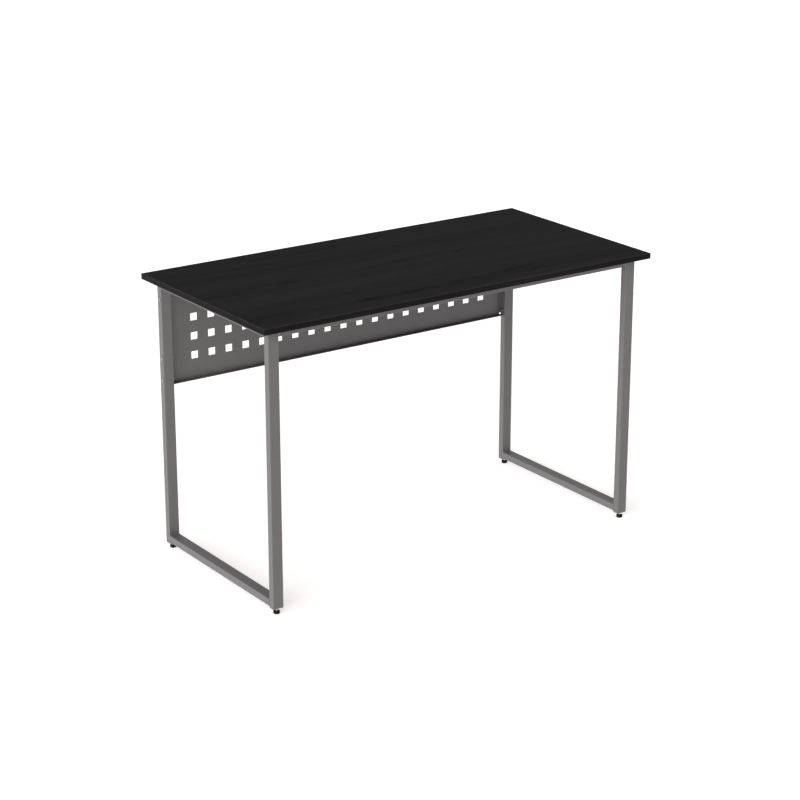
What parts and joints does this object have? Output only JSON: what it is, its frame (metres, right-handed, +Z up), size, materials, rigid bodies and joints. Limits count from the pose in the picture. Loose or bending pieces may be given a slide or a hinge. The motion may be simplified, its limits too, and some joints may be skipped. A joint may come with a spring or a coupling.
{
  "type": "computer desk",
  "caption": "Straight computer desk: dark wood-grain top on two rectangular steel tube loops, perforated steel modesty panel behind, screw-in levelling feet.",
  "frame": {"origin": "on the floor, under the middle of the desk", "axes": "+X across the desk to the right of the person sitting at it, +Y towards the modesty panel at the back, +Z up"},
  "size_m": [1.2, 0.6, 0.755],
  "materials": {
    "desktop_laminate": "near-black wood-grain melamine, fine embossed grain along X, satin",
    "edge_band": "near-black plastic edge band with a printed grain, satin",
    "frame_paint": "grey metallic powder coat, fine texture, satin",
    "panel_paint": "grey metallic powder coat, fine texture, satin",
    "end_cap": "light grey moulded plastic",
    "zinc_fastener": "bright zinc plate",
    "foot_plastic": "black moulded plastic, satin"
  },
  "bodies": {
    "desk": {"desktop_board": "desktop_laminate", "front_edge_band": "edge_band", "rear_edge_band": "edge_band", "left_edge_band": "edge_band", "right_edge_band": "edge_band", "left_front_upright": "frame_paint", "left_rear_upright": "frame_paint", "left_top_rail": "frame_paint", "left_bottom_rail": "frame_paint", "left_crossbar_cap": "end_cap", "left_panel_bolts": "zinc_fastener", "left_panel_nuts": "zinc_fastener", "left_rail_screws": "zinc_fastener", "right_front_upright": "frame_paint", "right_rear_upright": "frame_paint", "right_top_rail": "frame_paint", "right_bottom_rail": "frame_paint", "right_crossbar_cap": "end_cap", "right_panel_bolts": "zinc_fastener", "right_panel_nuts": "zinc_fastener", "right_rail_screws": "zinc_fastener", "front_crossbar": "frame_paint", "modesty_panel": "panel_paint", "crossbar_screws": "zinc_fastener", "panel_top_screws": "zinc_fastener", "left_front_foot_plate": "frame_paint", "left_front_weld_nut": "zinc_fastener", "left_rear_foot_plate": "frame_paint", "left_rear_weld_nut": "zinc_fastener", "right_front_foot_plate": "frame_paint", "right_front_weld_nut": "zinc_fastener", "right_rear_foot_plate": "frame_paint", "right_rear_weld_nut": "zinc_fastener"},
    "left_front_pad": {"left_front_foot_pad": "foot_plastic"},
    "left_front_stud": {"left_front_foot_stud": "zinc_fastener"},
    "left_rear_pad": {"left_rear_foot_pad": "foot_plastic"},
    "left_rear_stud": {"left_rear_foot_stud": "zinc_fastener"},
    "right_front_pad": {"right_front_foot_pad": "foot_plastic"},
    "right_front_stud": {"right_front_foot_stud": "zinc_fastener"},
    "right_rear_pad": {"right_rear_foot_pad": "foot_plastic"},
    "right_rear_stud": {"right_rear_foot_stud": "zinc_fastener"}
  },
  "joints": [
    {"name": "left_front_level", "type": "slide", "parent": "desk", "child": "left_front_pad", "axis": [0, 0, 1], "range_m": [-0.01, 0.008]},
    {"name": "left_front_stud_turn", "type": "hinge", "parent": "left_front_pad", "child": "left_front_stud", "pos_m": [-0.557, -0.26, 0.007], "axis": [0, 0, 1], "range_deg": [-3610, 2890]},
    {"name": "left_rear_level", "type": "slide", "parent": "desk", "child": "left_rear_pad", "axis": [0, 0, 1], "range_m": [-0.01, 0.008]},
    {"name": "left_rear_stud_turn", "type": "hinge", "parent": "left_rear_pad", "child": "left_rear_stud", "pos_m": [-0.557, 0.26, 0.007], "axis": [0, 0, 1], "range_deg": [-3610, 2890]},
    {"name": "right_front_level", "type": "slide", "parent": "desk", "child": "right_front_pad", "axis": [0, 0, 1], "range_m": [-0.01, 0.008]},
    {"name": "right_front_stud_turn", "type": "hinge", "parent": "right_front_pad", "child": "right_front_stud", "pos_m": [0.557, -0.26, 0.007], "axis": [0, 0, 1], "range_deg": [-3610, 2890]},
    {"name": "right_rear_level", "type": "slide", "parent": "desk", "child": "right_rear_pad", "axis": [0, 0, 1], "range_m": [-0.01, 0.008]},
    {"name": "right_rear_stud_turn", "type": "hinge", "parent": "right_rear_pad", "child": "right_rear_stud", "pos_m": [0.557, 0.26, 0.007], "axis": [0, 0, 1], "range_deg": [-3610, 2890]}
  ],
  "couplings": [
    {"joint": "left_front_stud_turn", "follows": "left_front_level", "rad_per_m": 6283.2},
    {"joint": "left_rear_stud_turn", "follows": "left_rear_level", "rad_per_m": 6283.2},
    {"joint": "right_front_stud_turn", "follows": "right_front_level", "rad_per_m": 6283.2},
    {"joint": "right_rear_stud_turn", "follows": "right_rear_level", "rad_per_m": 6283.2}
  ]
}
